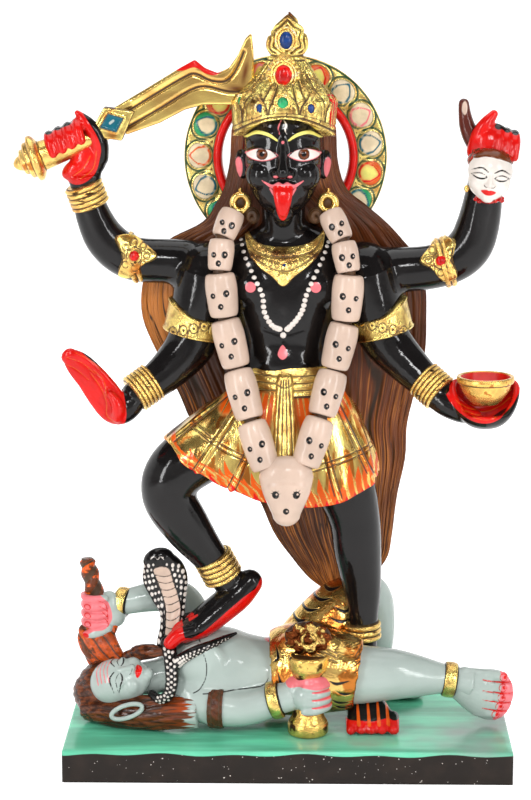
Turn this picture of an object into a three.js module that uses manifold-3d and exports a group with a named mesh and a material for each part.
// A painted marble statue in one block: a four-armed goddess in a tall crown and a halo stands on a lying god,
// on a low rectangular plinth. Millimetres, +Z up, front towards -Y, origin under the middle of the plinth.
// The figures' pose and carving are in shares of the figure's height, laid out so that one share is 1 mm at the
// height set here. Heights in the tables below count from the plinth's top.
import * as THREE from "three";
import { mergeVertices } from "three/addons/utils/BufferGeometryUtils.js";
import Module from "manifold-3d";

// Driving dimensions, in millimetres
const FIGURE_HEIGHT = 582;
const PLINTH_WIDTH = 362;
const PLINTH_DEPTH = 190;
const PLINTH_HEIGHT = 27;
const PLINTH_EDGE = 2;
const HALO_OUTER_RADIUS = 82;
const HALO_INNER_RADIUS = 51;
const HALO_THICKNESS = 11;
const HALO_RIM = 8;
const PETAL_HEIGHT = 3;
const BLADE_THICKNESS = 7;
const GRIP_RADIUS = 6.5;
const POMMEL_RADIUS = 19;
const BOWL_RADIUS = 23;
const BOWL_HEIGHT = 21;
const BOWL_WALL = 2.6;
const PALM_WALL = 7;
const DRUM_RADIUS = 16;
const DRUM_HEIGHT = 67;
const HAIR_THICKNESS = 22;
const BANGLE_WALL = 2.6;
const BEAD_RADIUS = 12;

// How many of each repeated feature
const HALO_PETALS = 16;
const SKIRT_PLEATS = 12;
const HAIR_STRANDS = 10;
const HORN_TWISTS = 3;

// How far pleats, strands and twists stand out and in, as a part of the form that they are carved on
const PLEAT_RELIEF = 0.03;
const STRAND_RELIEF = 0.12;
const TWIST_RELIEF = 0.13;
const FINGER_RELIEF = 0.2;

// How thick a finger or toe is at its tip, as a part of its thickness at the knuckle
const FINGERTIP = 0.55;

// The height at which one share of the figure is one millimetre, and the share at the height set above
const SHARES = 582;
const share = FIGURE_HEIGHT / SHARES;

// The shortest edge that the carving keeps, how far a facet may turn when a shorter one is taken out, as the
// cosine of the angle, and the least area in square millimetres that it may then have
const FINEST_EDGE = 1.8;
const TURN_LIMIT = 0.6;
const LEAST_FACET = 0.01;

// How far a form reaches into its neighbour where the two are one block
const SUNK = 1.5 * share;

const FRONT = new THREE.Vector3(0, -1, 0);
const UP = new THREE.Vector3(0, 0, 1);

const wasm = await Module();
wasm.setup();

// A point of the figure, given in shares, in millimetres above the plinth's top
function at(x, y, z) {
  return new THREE.Vector3(x * share, y * share, PLINTH_HEIGHT + z * share);
}

// A closed geometry as a solid that can be joined and cut
function solid(geometry) {
  const loose = geometry.index ? geometry.toNonIndexed() : geometry;
  const bare = new THREE.BufferGeometry().setAttribute("position", loose.getAttribute("position"));
  const merged = mergeVertices(bare, 1e-3);
  return new wasm.Manifold(
    new wasm.Mesh({
      numProp: 3,
      vertProperties: merged.attributes.position.array,
      triVerts: new Uint32Array(merged.index.array),
    }),
  );
}

// Moves every vertex of a geometry to where the function puts it
function reshape(geometry, place) {
  const positions = geometry.getAttribute("position");
  const vertex = new THREE.Vector3();
  for (let i = 0; i < positions.count; i++) {
    vertex.fromBufferAttribute(positions, i);
    const placed = place(vertex);
    positions.setXYZ(i, placed.x, placed.y, placed.z);
  }
  return geometry;
}

// A rounded member through stations [x, y, z, half width, half depth], in shares. The depth is measured
// towards the facing direction, the width across it. A flute swells width and depth by angle and length.
function limb(stations, { sides = 8, steps = 1, facing = FRONT, flute = () => [1, 1] } = {}) {
  const path = new THREE.CatmullRomCurve3(stations.map(([x, y, z]) => at(x, y, z)));
  const halves = stations.map(([, , , wide, deep = wide]) => new THREE.Vector3(wide, deep, 0));
  const sizes = new THREE.CatmullRomCurve3(halves, false, "catmullrom", 0);
  const rings = (stations.length - 1) * steps;
  const tube = new THREE.CylinderGeometry(1, 1, 1, sides, rings);
  return solid(
    reshape(tube, ({ x, y, z }) => {
      const along = Math.min(Math.max(0.5 - y, 0), 1);
      const tangent = path.getTangent(along);
      const across = new THREE.Vector3().crossVectors(facing, tangent).normalize();
      const towards = new THREE.Vector3().crossVectors(tangent, across);
      const size = sizes.getPoint(along).multiplyScalar(share);
      const [wider, deeper] = flute(Math.atan2(x, z), along);
      return path
        .getPoint(along)
        .addScaledVector(across, x * size.x * wider)
        .addScaledVector(towards, z * size.y * deeper);
    }),
  );
}

// An ellipsoid, in shares, turned about the X, Y and Z axes in degrees
function ball([x, y, z], [rx, ry, rz], { sides = 8, rings = 5, turn = [0, 0, 0] } = {}) {
  const angles = turn.map(THREE.MathUtils.degToRad);
  return solid(
    new THREE.SphereGeometry(1, sides, rings)
      .rotateX(Math.PI / 2)
      .scale(rx * share, ry * share, rz * share)
      .applyQuaternion(new THREE.Quaternion().setFromEuler(new THREE.Euler(...angles)))
      .translate(...at(x, y, z)),
  );
}

// A turned form whose profile [radius, height] is in millimetres, standing on a point along a direction
function turned(profile, base, direction, sides = 12) {
  const points = profile.map(([radius, height]) => new THREE.Vector2(radius, height));
  const stand = new THREE.Quaternion().setFromUnitVectors(new THREE.Vector3(0, 1, 0), direction);
  return solid(
    new THREE.LatheGeometry(points, sides).applyQuaternion(stand).translate(...base),
  );
}

// A bangle round a limb: a barrel-shaped band centred on a point of the limb, along the limb's direction
function bangle([x, y, z], [ax, ay, az], radius, length) {
  const axis = new THREE.Vector3(ax, ay, az).normalize();
  const outer = radius * share + BANGLE_WALL;
  const long = length * share;
  const foot = at(x, y, z).addScaledVector(axis, -long / 2);
  const rim = outer - BANGLE_WALL / 2;
  return turned([[0, 0], [rim, 0], [outer, long / 2], [rim, long], [0, long]], foot, axis, 8);
}

function union(solids) {
  return solids.flat(Infinity).reduce((whole, next) => whole.add(next));
}

// Fingers or toes side by side, in one ribbon whose section is a row of ridges as wide as the hand. It follows
// the given offsets from the middle of the row, which runs from the first knuckle to the last.
function fingers(first, last, count, bends, radius) {
  const middle = first.map((value, axis) => (value + last[axis]) / 2);
  const row = new THREE.Vector3(...last).sub(new THREE.Vector3(...first));
  const wide = row.length() / 2 + radius / 2;
  const bend = new THREE.Vector3(...bends.at(-1)).sub(new THREE.Vector3(...bends[0]));
  const taper = (i) => (i === bends.length - 1 ? FINGERTIP : 1);
  const stations = bends.map((offset, i) => [
    ...middle.map((value, axis) => value + offset[axis]),
    wide - radius * (1 - taper(i)),
    radius * taper(i),
  ]);
  const ridges = (angle) => {
    const even = Math.asin(Math.sin(angle)) / (Math.PI / 2);
    const ridge = 1 - FINGER_RELIEF * (1 + Math.cos(angle * 2 * count));
    return [even / (Math.sin(angle) || 1), ridge / (Math.abs(Math.cos(angle)) + 0.1)];
  };
  const palmward = new THREE.Vector3().crossVectors(row, bend).normalize();
  return limb(stations, { sides: 4 * count, facing: palmward, flute: ridges });
}

function plinth() {
  const edge = PLINTH_EDGE;
  const [wide, deep] = [PLINTH_WIDTH / 2 - edge, PLINTH_DEPTH / 2 - edge];
  const outline = new THREE.Shape();
  outline.moveTo(-wide, -deep).lineTo(wide, -deep).lineTo(wide, deep).lineTo(-wide, deep).closePath();
  const slab = new THREE.ExtrudeGeometry(outline, {
    depth: PLINTH_HEIGHT - edge,
    bevelThickness: edge,
    bevelSize: edge,
    bevelSegments: 1,
  });
  const under = new THREE.BoxGeometry(2 * PLINTH_WIDTH, 2 * PLINTH_DEPTH, 2 * edge).translate(0, 0, -edge);
  return solid(slab).subtract(solid(under));
}

// The goddess's trunk, from the neck to the hips, with shoulders and breasts
function trunk() {
  return [
    limb(
      [
        [-4, 4, 406, 24, 16],
        [-3, 2, 392, 48, 22],
        [-3, -3, 368, 52, 29],
        [-3, -4, 340, 42, 27],
        [-2, -4, 312, 36, 25],
        [0, -4, 280, 42, 30],
        [-2, -4, 236, 52, 34],
      ],
      { sides: 10 },
    ),
    limb([[-4.5, 3, 386, 20, 18], [-4.5, -1, 410, 17.5, 17], [-4.5, -6, 436, 18, 18]], { sides: 8 }),
    ...[-1, 1].map((side) => ball([-2 + side * 25, -19, 364], [20, 15, 17], { sides: 8, rings: 5 })),
    ...[-1, 1].map((side) => ball([-1 + side * 59, 1, 369], [27, 25, 27], { sides: 8, rings: 6 })),
  ];
}

// The goddess's head: skull, jaw, brow, nose, eyes, lips and the tongue put out over the chin
function head() {
  const middle = -4.7;
  const pair = [-1, 1];
  return [
    ball([middle, -6, 470], [34, 35, 42], { sides: 12, rings: 7 }),
    ball([middle, -16, 446], [27, 24, 29], { sides: 10, rings: 6 }),
    limb([[middle, -38, 490, 3, 3], [middle, -42, 473, 3.5, 5], [middle, -46, 459, 6.5, 6]], { sides: 6 }),
    limb([[middle - 12, -36, 447, 2], [middle, -41.5, 448.5, 3.5], [middle + 12, -36, 447, 2]], { sides: 5 }),
    limb([[middle, -38, 447, 9, 4], [middle, -44, 436, 8.5, 4], [middle, -43, 422, 5, 3]], { sides: 6 }),
    pair.map((side) => ball([middle + side * 17, -33, 474], [12, 6, 6], { sides: 6, rings: 4 })),
    pair.map((side) => ball([middle + side * 35, -2, 458], [6, 8, 14], { sides: 6, rings: 4 })),
    pair.map((side) =>
      turned(
        [[0, 0], [7.5 * share, 0], [7.5 * share, 12 * share], [0, 12 * share]],
        at(middle + side * 35, -4, 431),
        FRONT,
        8,
      ),
    ),
  ];
}

// The tall crown: a band that rises over the forehead, a dome and a flat pointed finial, set with gems
function crown() {
  const middle = -4.5;
  const rings = [
    { z: 487, wide: 39.5, deep: 36, rise: 15 },
    { z: 515, wide: 38.5, deep: 34, rise: 3 },
    { z: 530, wide: 26, deep: 24, rise: 0 },
    { z: 544, wide: 15.5, deep: 14, rise: 0 },
    { z: 558, wide: 18, deep: 8, rise: 0 },
    { z: 568, wide: 12, deep: 6, rise: 0 },
    { z: SHARES, wide: 1, deep: 1, rise: 0 },
  ].map((ring, i) => ({ ...ring, y: i < 3 ? -8 : -9 }));
  const shell = new THREE.CylinderGeometry(1, 1, 1, 14, rings.length - 1);
  const body = reshape(shell, ({ x, y, z }) => {
    const ring = rings[Math.round((y + 0.5) * (rings.length - 1))];
    const lift = ring.rise * Math.max(z, 0) ** 2;
    return at(middle + ring.wide * x, ring.y - ring.deep * z, ring.z + lift);
  });
  const gem = { sides: 6, rings: 4 };
  return [
    solid(body),
    ball([middle + 1, -16, 559], [7, 4, 10], gem),
    ball([middle, -29, 532], [9, 6, 11], gem),
    ball([middle, -41, 513], [6, 4, 6], gem),
  ];
}

// The halo: a flat ring behind the head with a round inner rim and a wreath of domed petals
function halo() {
  const [inner, outer, half] = [HALO_INNER_RADIUS, HALO_OUTER_RADIUS, HALO_THICKNESS / 2];
  const wreath = inner + HALO_RIM;
  const domeRadius = (wreath + outer) / 2;
  const profile = [
    [inner, half],
    [inner, -half + 1],
    [inner + HALO_RIM / 2, -half - 2],
    [wreath, -half],
    [domeRadius, -half],
    [outer, -half + 2],
    [outer, half],
    [inner, half],
  ].map(([radius, depth]) => new THREE.Vector2(radius, depth));
  const ring = new THREE.LatheGeometry(profile, HALO_PETALS * 2);
  const centre = at(-3.2, 25, 464);
  return solid(
    reshape(ring, (vertex) => {
      const onDome = Math.abs(Math.hypot(vertex.x, vertex.z) - domeRadius) < 1e-3;
      const petal = 0.5 + 0.5 * Math.cos(Math.atan2(vertex.x, vertex.z) * HALO_PETALS);
      if (onDome) vertex.y -= PETAL_HEIGHT * petal;
      return vertex.add(centre);
    }),
  );
}

// The hair: it frames the head, spreads over the shoulders and falls behind the body to the lying god's knee,
// carved in broad upright strands
function hair() {
  const thick = HAIR_THICKNESS / share / 2;
  const stations = [
    [-4.5, 12, 504, 36, 24],
    [-4.5, 12, 470, 43, 26],
    [-4.5, 12, 440, 49, 24],
    [-5, 18, 420, 64, 18],
    [-6, 25, 401, 100, 14],
    [-2, 30, 370, 120, thick],
    [2, 33, 320, 120, thick],
    [11, 34, 266, 103, thick],
    [20, 35, 212, 78, thick],
    [34, 36, 165, 60, thick],
    [43, 38, 118, 43, thick],
    [47, 38, 97, 18, thick * 0.8],
  ];
  const strands = (angle) => [1, 1 + STRAND_RELIEF * Math.cos(angle * HAIR_STRANDS)];
  return limb(stations, { sides: 2 * HAIR_STRANDS, flute: strands });
}

// The short skirt: from the belt it flares to a hem that lifts over the raised thigh at the left, in pleats
function skirt() {
  // The hem's points go round from the back by the left, as seen from the front
  const hem = [
    [10, 26, 206],
    [-60, 18, 228],
    [-100, -8, 240],
    [-103, -30, 234],
    [-84, -50, 219],
    [-50, -56, 202],
    [-12, -54, 187],
    [28, -50, 184],
    [60, -38, 191],
    [75, -14, 200],
    [66, 14, 205],
  ].map(([x, y, z]) => at(x, y, z));
  const edge = new THREE.CatmullRomCurve3(hem, true);
  const sides = 2 * SKIRT_PLEATS;
  const cone = new THREE.CylinderGeometry(1, 1, 1, sides, 3);
  const flared = reshape(cone, ({ x, y, z }) => {
    const down = Math.min(Math.max(0.5 - y, 0), 1);
    // Round from the back: 0 at the back, a quarter at the left, a half at the front
    const turn = (Math.atan2(-x, -z) / (2 * Math.PI) + 1) % 1;
    const waist = at(1 + 40 * x, -4 - 31 * z, 284);
    const low = edge.getPointAt(turn);
    const centre = at(0, -8, THREE.MathUtils.lerp(284, 212, down));
    const rim = Math.hypot(x, z) > 0.5;
    if (!rim) return down < 0.5 ? at(1, -4, 284) : centre;
    const pleat = 1 + PLEAT_RELIEF * down * Math.cos(turn * 2 * Math.PI * SKIRT_PLEATS);
    const bulge = (1 + x) / 2;
    const spread = THREE.MathUtils.lerp(down, Math.sin((down * Math.PI) / 2), bulge);
    const point = waist.clone().lerp(low, spread);
    point.z = THREE.MathUtils.lerp(waist.z, low.z, down);
    point.x = centre.x + (point.x - centre.x) * pleat;
    point.y = centre.y + (point.y - centre.y) * pleat;
    return point;
  });
  const belt = limb([[1, -4, 295, 39, 30], [1, -4, 271, 45, 36]], { sides: 12 });
  const sash = limb(
    [
      [-2, -34, 290, 6, 4],
      [-2, -41, 268, 7, 4],
      [-2, -49, 240, 8.5, 4],
      [-2, -53, 224, 9, 4],
    ],
    { sides: 6 },
  );
  return [solid(flared), belt, sash];
}

// A string of skull-shaped beads down each side of the body to the big skull that hangs in the middle
function garland() {
  const strings = [
    [
      [-44, -16, 425],
      [-53, -27, 404],
      [-55, -33, 378],
      [-51, -35, 341],
      [-41, -38, 301],
      [-30, -49, 261],
      [-17, -60, 222],
    ],
    [
      [32, -16, 425],
      [43, -27, 402],
      [48, -33, 377],
      [45, -35, 338],
      [36, -38, 300],
      [26, -49, 264],
      [13, -60, 225],
    ],
  ];
  const wide = BEAD_RADIUS / share;
  const swells = [[0, 0.62], [0.25, 1], [0.75, 1]];
  const beads = strings.map((knots) => {
    const stations = knots.slice(1).flatMap((knot, i) =>
      swells.map(([part, swell]) => [
        ...knots[i].map((value, axis) => value + (knot[axis] - value) * part),
        wide * swell,
      ]),
    );
    return limb([...stations, [...knots.at(-1), wide * swells[0][1]]], { sides: 7 });
  });
  const pendant = limb(
    [
      [-1, -61, 234, 11, 7],
      [-1, -63, 224, 20, 12],
      [-1, -63, 208, 22, 13],
      [-1, -61, 192, 15, 11],
      [-1, -59, 180, 7, 6],
    ],
    { sides: 9 },
  );
  return [beads, pendant];
}

// The four arms, from shoulder to wrist. The upper pair is lifted, the lower pair reaches down and forward.
function arms() {
  const upperLeft = [
    [-48, 8, 377, 20],
    [-92, 9, 380, 18],
    [-126, 6, 383, 18.5],
    [-147, 2, 397, 17],
    [-157, -2, 418, 14.5],
    [-164, -6, 444, 11.5],
  ];
  const upperRight = [
    [46, 8, 376, 20],
    [90, 8, 374, 18],
    [124, 5, 379, 18.5],
    [144, 2, 392, 17.5],
    [150, -1, 414, 16],
    [157, -8, 456, 13],
  ];
  const lowerLeft = [
    [-62, 0, 366, 23],
    [-69, 0, 338, 21.5],
    [-74, -2, 314, 19.5],
    [-98, -12, 294, 16.5],
    [-131, -25, 271, 12],
  ];
  const lowerRight = [
    [59, 0, 366, 23],
    [68, 0, 340, 20.5],
    [76, -2, 317, 19],
    [98, -12, 298, 16.5],
    [129, -29, 271, 12],
  ];
  return [upperLeft, upperRight, lowerLeft, lowerRight].map((stations) => limb(stations, { sides: 9 }));
}

// Bands of beaten gold at both figures' arms, wrists and ankles, and the goddess's collar with its point
function jewellery() {
  return [
    bangle([-162, -5, 436], [-6, -3, 17], 13, 20),
    bangle([-127, 6, 384], [1, 0, 0.25], 19, 14),
    bangle([127, 4, 381], [1, 0, 0.3], 19, 14),
    bangle([-71, -1, 329], [-5, 0, -24], 21.5, 17),
    bangle([71, -1, 330], [7, 0, -24], 20.5, 17),
    bangle([-117, -19, 281.5], [-18, -7, -12], 14.5, 19),
    bangle([115, -21, 284], [16, -8, -13], 14.5, 19),
    bangle([-58, -11, 130], [22, 9, -44], 15, 22),
    bangle([61.5, 3, 73], [1, 1, -20], 14, 15),
    bangle([-138, 6, 94], [1, -0.3, -0.1], 10, 13),
    bangle([-10, -49, 28], [1, -0.1, 0.3], 13, 13),
    bangle([133, -24, 38], [1, 0, -0.15], 11, 13),
    limb([[-4.5, -2, 407, 22, 22], [-4, -4, 398, 32, 29], [-4, -4, 392, 39, 33]], { sides: 12 }),
    limb([[-4.5, -30, 396, 18, 5], [-4.5, -36, 382, 9, 5], [-4.5, -36, 367, 3, 4]], { sides: 6 }),
  ];
}

// The raised leg with its knee out to the left, the standing leg, and both feet
function legs() {
  return [
    limb(
      [
        [-26, -8, 248, 32],
        [-64, -18, 234, 29],
        [-92, -27, 217, 25.5],
        [-95, -27, 195, 22.5],
        [-80, -20, 164, 19.5],
        [-62, -13, 137, 14.5],
        [-46, -8, 112, 12.5],
      ],
      { sides: 10 },
    ),
    limb(
      [
        [26, 0, 244, 33],
        [45, 0, 198, 25],
        [54, 2, 152, 20.5],
        [60, 4, 108, 15.5],
        [62, 4, 76, 12.5],
        [62, 4, 46, 12.5],
        [62, 6, 10, 14],
      ],
      { sides: 10 },
    ),
    // The raised foot, heel at the right and toes at the left, on the lying god's chest
    limb(
      [
        [-25, -8, 111, 7, 10],
        [-38, -10, 107, 14, 13],
        [-64, -15, 93, 13, 15],
        [-84, -20, 80, 9, 16],
      ],
      { sides: 8 },
    ),
    fingers([-84, -6, 77], [-86, -34, 77], 5, [[6, 0, 2], [-6, -1, -3], [-13, -1, -7]], 5),
    // The standing foot, which comes out in front under the lying god's leg
    limb([[62, 18, 8, 12, 10], [63, -2, 13, 14, 14], [67, -30, 11, 18, 12], [69, -44, 8, 21, 8]], {
      sides: 8,
      facing: UP,
    }),
    fingers([52, -42, 6], [87, -40, 6], 5, [[0, 0, 0], [0, -9, 0], [0, -13, -1]], 5),
  ];
}

// The sword: a blade whose back rises to a peak and whose end turns up beside the crown, a square guard,
// a tapering grip and a stepped pommel
function sword() {
  const blade = new THREE.Shape();
  const corner = (x, z) => [x * share, PLINTH_HEIGHT + z * share];
  blade.moveTo(...corner(-142, 500));
  blade.lineTo(...corner(-86, 535));
  blade.lineTo(...corner(-75, 541));
  blade.quadraticCurveTo(...corner(-60, 526), ...corner(-48, 535));
  blade.quadraticCurveTo(...corner(-39, 543), ...corner(-37, 558));
  blade.lineTo(...corner(-31, 562));
  blade.quadraticCurveTo(...corner(-30, 530), ...corner(-28, 506));
  blade.lineTo(...corner(-66, 505));
  blade.quadraticCurveTo(...corner(-87, 504), ...corner(-107, 490));
  blade.lineTo(...corner(-132, 480));
  blade.closePath();
  const edge = BLADE_THICKNESS / 3;
  const plate = new THREE.ExtrudeGeometry(blade, {
    depth: BLADE_THICKNESS - 2 * edge,
    bevelThickness: edge,
    bevelSize: edge,
    bevelOffset: -edge,
    bevelSegments: 1,
    curveSegments: 3,
  })
    .rotateX(Math.PI / 2)
    .translate(0, BLADE_THICKNESS / 2 - 3 * share, 0);
  const gripStart = at(-132, -7, 491);
  const gripEnd = at(-200, -11, 467);
  const along = gripEnd.clone().sub(gripStart);
  const length = along.length();
  along.normalize();
  const [thin, r] = [GRIP_RADIUS, POMMEL_RADIUS];
  const gripProfile = [[0, 0], [thin, 0], [thin, length * 0.5], [r * 0.58, length], [0, length]];
  const pommelProfile = [[0, 0], [r * 0.5, 0], [r, r * 0.3], [r, r * 0.42], [r * 0.7, r * 0.6], [r * 0.62, r * 0.8],
    [r * 0.25, r * 1.2], [0, r * 1.3]];
  const guard = new THREE.BoxGeometry(24 * share, 14 * share, 24 * share)
    .rotateY(THREE.MathUtils.degToRad(-8))
    .translate(...at(-141, -8, 491));
  return [
    solid(plate),
    turned(gripProfile, gripStart, along, 9),
    turned(pommelProfile, gripEnd.clone().addScaledVector(along, -SUNK), along, 12),
    solid(guard),
  ];
}

// The fist round the sword's grip and the one that holds the cut-off head by its hair
function fists() {
  return [
    limb([[-163, -6, 440, 10, 9], [-168, -9, 455, 16, 10], [-165, -8, 474, 15, 11], [-178, -4, 486, 14, 8]], {
      sides: 8,
    }),
    fingers([-194, -5, 481], [-172, -3, 491], 4, [[2, 6, -6], [0, -2, 3], [-1, -14, -1], [2, -17, -12]], 5),
    limb([[-155, -10, 466, 7], [-157, -14, 480, 6.5], [-166, -15, 495, 5], [-174, -14, 506, 2.5]], { sides: 6 }),
    limb([[155, -8, 450, 12, 10], [158, -10, 470, 17, 11], [163, -9, 487, 15, 9]], { sides: 8 }),
    fingers([161, -6, 489], [178, -6, 485], 3, [[0, 6, -6], [0, -4, 4], [0, -13, 0], [-1, -15, -13]], 5),
    limb([[148, -14, 470, 7], [150, -16, 484, 6.5], [156, -17, 497, 5], [161, -16, 507, 2.5]], { sides: 6 }),
    limb([[143, -6, 462, 6], [138, -8, 478, 5.5], [137.5, -9, 496, 5], [136.5, -10, 514, 3]], { sides: 6 }),
  ];
}

// The open hand at the lower left: palm forward, four straight fingers pointing up and out, the thumb folded
function openHand() {
  return [
    limb(
      [
        [-124, -22, 277, 10, 10],
        [-134, -28, 268, 12, 11],
        [-142, -31, 265, 15, 9],
        [-153, -33, 279, 16, 7],
        [-165, -34, 294, 14, 5],
      ],
      { sides: 8 },
    ),
    fingers([-172, -34, 288], [-155, -35, 302], 4, [[6, 1, -7], [-8, -1, 9], [-16, -1, 17]], 4.6),
    limb([[-139, -37, 258, 5], [-144, -42, 266, 5], [-150, -42, 276, 3.5]], { sides: 5 }),
  ];
}

// The hand at the lower right, cupped with its front rim low, and the bowl that rests in it
function bowlHand() {
  const [r, h, w] = [BOWL_RADIUS, BOWL_HEIGHT, BOWL_WALL];
  const bowlProfile = [[0, 0], [r * 0.55, 0], [r * 0.86, h * 0.5], [r, h], [r - w, h], [r * 0.86 - w, h * 0.55],
    [r * 0.5 - w, w * 2], [0, w * 1.5]];
  const palm = r + PALM_WALL;
  const rim = h * 0.9;
  const palmProfile = [[0, -PALM_WALL * 2], [palm * 0.55, -PALM_WALL * 1.6], [palm * 0.9, -PALM_WALL * 0.2],
    [palm, rim], [palm - PALM_WALL * 0.6, rim], [palm * 0.7, h * 0.2], [0, 0]];
  const seat = at(156, -37, 271);
  const lowFront = new THREE.BoxGeometry(3 * palm, 2 * palm, 2 * palm)
    .translate(0, -palm * 1.25, palm)
    .rotateX(THREE.MathUtils.degToRad(42))
    .translate(...seat.clone().addScaledVector(UP, h * 0.45));
  return [
    turned(palmProfile, seat.clone().addScaledVector(UP, SUNK), UP, 12).subtract(solid(lowFront)),
    turned(bowlProfile, seat, UP, 12),
    limb([[120, -25, 277, 12, 11], [130, -29, 268, 12, 13], [143, -34, 264, 9, 12]], { sides: 8 }),
  ];
}

// The cut-off head that hangs by its hair from the upper right fist
function cutHead() {
  return [
    ball([157.5, -28, 449], [18, 17, 20], { sides: 10, rings: 7 }),
    limb([[157.5, -20, 476, 12, 9], [157.5, -22, 462, 16, 13]], { sides: 8 }),
    limb([[157.5, -44, 456, 2, 2], [157.5, -46, 447, 3.5, 3]], { sides: 4 }),
  ];
}

// The lying god's trunk, head, arms and legs
function lyingBody() {
  return [
    limb(
      [
        [-104, -20, 38, 15, 17],
        [-86, -14, 42, 30, 35],
        [-60, -12, 42, 34, 37],
        [-30, -10, 38, 30, 33],
        [12, -8, 40, 33, 36],
      ],
      { sides: 10 },
    ),
    limb([[-122, -28, 38, 14], [-92, -22, 40, 16]], { sides: 7 }),
    ball([-139, -32, 36], [25, 22, 22], { sides: 10, rings: 6 }),
    limb([[-144, -42, 53, 2.5, 3], [-133, -47, 56, 4.5, 4]], { sides: 5 }),
    // The near arm lies along the body, its hand on the drum
    limb([[-86, -34, 30, 17], [-60, -44, 20, 15.5], [-34, -46, 20, 15], [-4, -50, 30, 13.5]], { sides: 8 }),
    ball([12, -52, 36], [18, 14, 19]),
    fingers([27, -54, 24], [27, -54, 48], 4, [[-6, -2, 0], [3, -1, 0], [6, 7, 0]], 4.8),
    // The far arm is raised behind the cobra, its fist round the horn
    limb(
      [
        [-84, 14, 48, 17],
        [-80, 20, 76, 15],
        [-88, 19, 95, 14],
        [-114, 12, 97, 12.5],
        [-150, 3, 92, 10],
      ],
      { sides: 8 },
    ),
    ball([-156, 1, 89], [12, 11, 18]),
    fingers([-162, -4, 81], [-162, -4, 101], 4, [[8, -3, 0], [-3, -7, 0], [-7, 1, 0]], 5),
    // The near leg lies straight out to the right
    limb(
      [
        [4, -20, 40, 33, 30],
        [40, -29, 44, 27],
        [66, -30, 44, 23.5],
        [96, -28, 43, 19.5],
        [134, -24, 38, 11.5],
        [150, -23, 34, 13],
      ],
      { sides: 10 },
    ),
    limb([[142, -23, 34, 15, 11], [158, -22, 28, 20, 11], [171, -22, 23, 18, 8]], { sides: 8 }),
    fingers([173, -25, 37], [166, -25, 7], 5, [[-5, 0, 0], [7, 0, 0], [13, 0, 0]], 5.5),
    // The far leg is drawn up behind the goddess's standing leg
    limb([[8, 12, 44, 26], [36, 23, 78, 25], [66, 36, 92, 19], [72, 39, 70, 17], [74, 42, 8, 12]], { sides: 8 }),
    limb([[70, 46, 8, 9, 10], [90, 44, 7, 8, 13], [106, 42, 5, 5, 12]], { sides: 6 }),
  ];
}

// The lying god's hair: a topknot, tresses along the ground, and a lock across the neck
function lyingHair() {
  return [
    ball([-164, -16, 21], [17, 17, 19], { sides: 8, rings: 6 }),
    ball([-143, -20, 32], [27, 24, 25], { sides: 10, rings: 6 }),
    limb([[-160, -22, 12, 14, 16], [-138, -34, 12, 13, 14], [-104, -46, 14, 11, 12], [-70, -52, 12, 8, 9]], {
      sides: 8,
    }),
    limb([[-132, -14, 52, 7], [-112, -18, 62, 7], [-96, -24, 66, 4]], { sides: 6 }),
    ball([-132, -48, 18], [9, 5, 5], { sides: 6, rings: 4, turn: [0, -20, 0] }),
  ];
}

// The twisted horn in the lying god's raised fist, which runs down into his hair
function horn() {
  const twist = (angle, along) => {
    const swell = 1 + TWIST_RELIEF * Math.cos(2 * (angle + along * HORN_TWISTS * Math.PI));
    return [swell, swell];
  };
  return limb([[-167, 4, 131, 5.5], [-163, 2, 106, 7.5], [-161, -2, 84, 9.5], [-160, -10, 56, 12], [-158, -16, 30, 14]], {
    sides: 6,
    steps: 3,
    flute: twist,
  });
}

// The cobra: a spread hood over the lying god's shoulder, and a body that loops round his neck and chest
function cobra() {
  return [
    limb(
      [
        [-106, -10, 146, 7, 5],
        [-106, -9, 138, 15, 9],
        [-104, -5, 121, 19, 7],
        [-99, -6, 98, 14, 7],
        [-95, -14, 79, 9, 7],
        [-97, -28, 62, 8, 6],
      ],
      { sides: 9 },
    ),
    limb([[-20, -6, 72, 3], [-50, -26, 76, 5.5], [-72, -37, 67, 6], [-90, -45, 50, 6.5], [-98, -46, 16, 7]], { sides: 6 }),
  ];
}

// The hourglass drum that stands on the plinth under the lying god's hand
function drum() {
  const [r, h] = [DRUM_RADIUS, DRUM_HEIGHT];
  const profile = [[0, 0], [r, 0], [r, h * 0.12], [r * 0.55, h * 0.5], [r, h * 0.86], [r, h], [0, h]];
  return turned(profile, at(16.5, -44, 0).addScaledVector(UP, -SUNK), UP, 12);
}

// The lying god's animal skin with its twisted belt, over the hips and both thighs
function loincloth() {
  return [
    limb(
      [
        [-12, -10, 38, 33, 34],
        [6, -11, 42, 37, 37],
        [30, -22, 45, 33, 31],
        [58, -30, 45, 27, 26],
      ],
      { sides: 10 },
    ),
    limb([[4, 10, 44, 27], [18, 16, 62, 29], [36, 24, 80, 27.5], [56, 33, 92, 23]], { sides: 8 }),
    limb([[-2, -30, 70, 8], [8, -34, 76, 10], [24, -34, 76, 11], [44, -40, 66, 7], [60, -44, 58, 3]], { sides: 6 }),
  ];
}

const statue = union([
  plinth(),
  trunk(),
  head(),
  crown(),
  halo(),
  hair(),
  skirt(),
  garland(),
  arms(),
  jewellery(),
  legs(),
  sword(),
  fists(),
  openHand(),
  bowlHand(),
  cutHead(),
  lyingBody(),
  lyingHair(),
  horn(),
  cobra(),
  drum(),
  loincloth(),
]);

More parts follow.
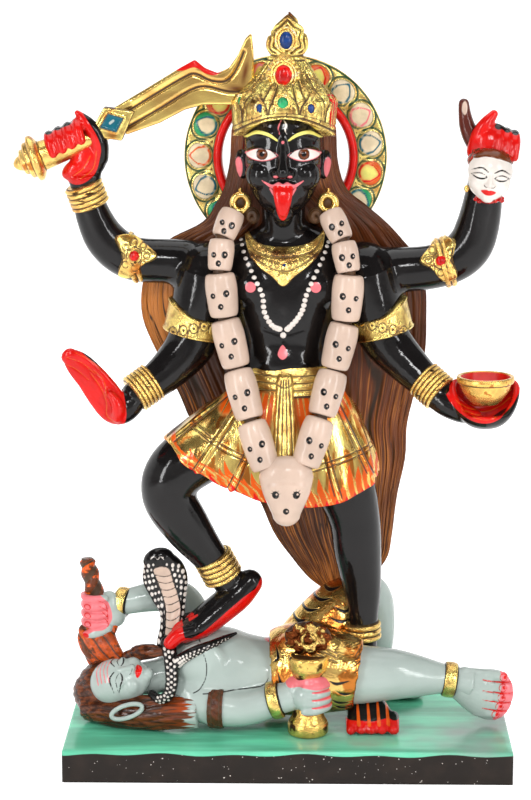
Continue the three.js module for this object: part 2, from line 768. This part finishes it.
// Draws the ends of edges shorter than the finest carved edge together, wherever that neither folds nor pinches
// the surface, so that the joins leave few slivers
function dressed(mesh, shortest) {
  const stride = mesh.numProp;
  const points = Array.from({ length: mesh.numVert }, (_, i) =>
    new THREE.Vector3(...mesh.vertProperties.subarray(i * stride, i * stride + 3)),
  );
  const faces = Array.from({ length: mesh.numTri }, (_, i) => [...mesh.triVerts.subarray(3 * i, 3 * i + 3)]);
  const touching = points.map(() => new Set());
  faces.forEach((face, i) => face.forEach((corner) => touching[corner].add(i)));
  const neighbours = (corner) =>
    new Set([...touching[corner]].flatMap((i) => faces[i]).filter((other) => other !== corner));
  const normal = (face) => {
    const [a, b, c] = face.map((corner) => points[corner]);
    return b.clone().sub(a).cross(c.clone().sub(a));
  };
  // Whether the second corner can be drawn onto the first
  const drawable = (kept, lost) => {
    const besideLost = neighbours(lost);
    const shared = [...neighbours(kept)].filter((corner) => besideLost.has(corner));
    if (shared.length !== 2) return false;
    return [...touching[lost]]
      .filter((i) => !faces[i].includes(kept))
      .every((i) => {
        const before = normal(faces[i]);
        const after = normal(faces[i].map((corner) => (corner === lost ? kept : corner)));
        return after.length() > 2 * LEAST_FACET && after.dot(before) > TURN_LIMIT * after.length() * before.length();
      });
  };
  const draw = (kept, lost) => {
    for (const i of touching[lost]) {
      if (faces[i].includes(kept)) {
        faces[i].forEach((corner) => corner !== lost && touching[corner].delete(i));
        faces[i] = null;
      } else {
        faces[i] = faces[i].map((corner) => (corner === lost ? kept : corner));
        touching[kept].add(i);
      }
    }
    touching[lost].clear();
  };
  for (let i = 0; i < faces.length; i++) {
    for (const [from, to] of [[0, 1], [1, 2], [2, 0]]) {
      if (!faces[i]) break;
      const [a, b] = [faces[i][from], faces[i][to]];
      if (points[a].distanceTo(points[b]) >= shortest) continue;
      if (drawable(a, b)) draw(a, b);
      else if (drawable(b, a)) draw(b, a);
    }
  }
  const geometry = new THREE.BufferGeometry().setFromPoints(points);
  return geometry.setIndex(faces.filter(Boolean).flat());
}

const paintedMarble = new THREE.MeshStandardMaterial({ color: 0x2a221e, roughness: 0.3, metalness: 0 });
const figure = new THREE.Mesh(dressed(statue.getMesh(), FINEST_EDGE), paintedMarble);
figure.name = "kali_figure";

const group = new THREE.Group();
group.add(figure);

export default group;
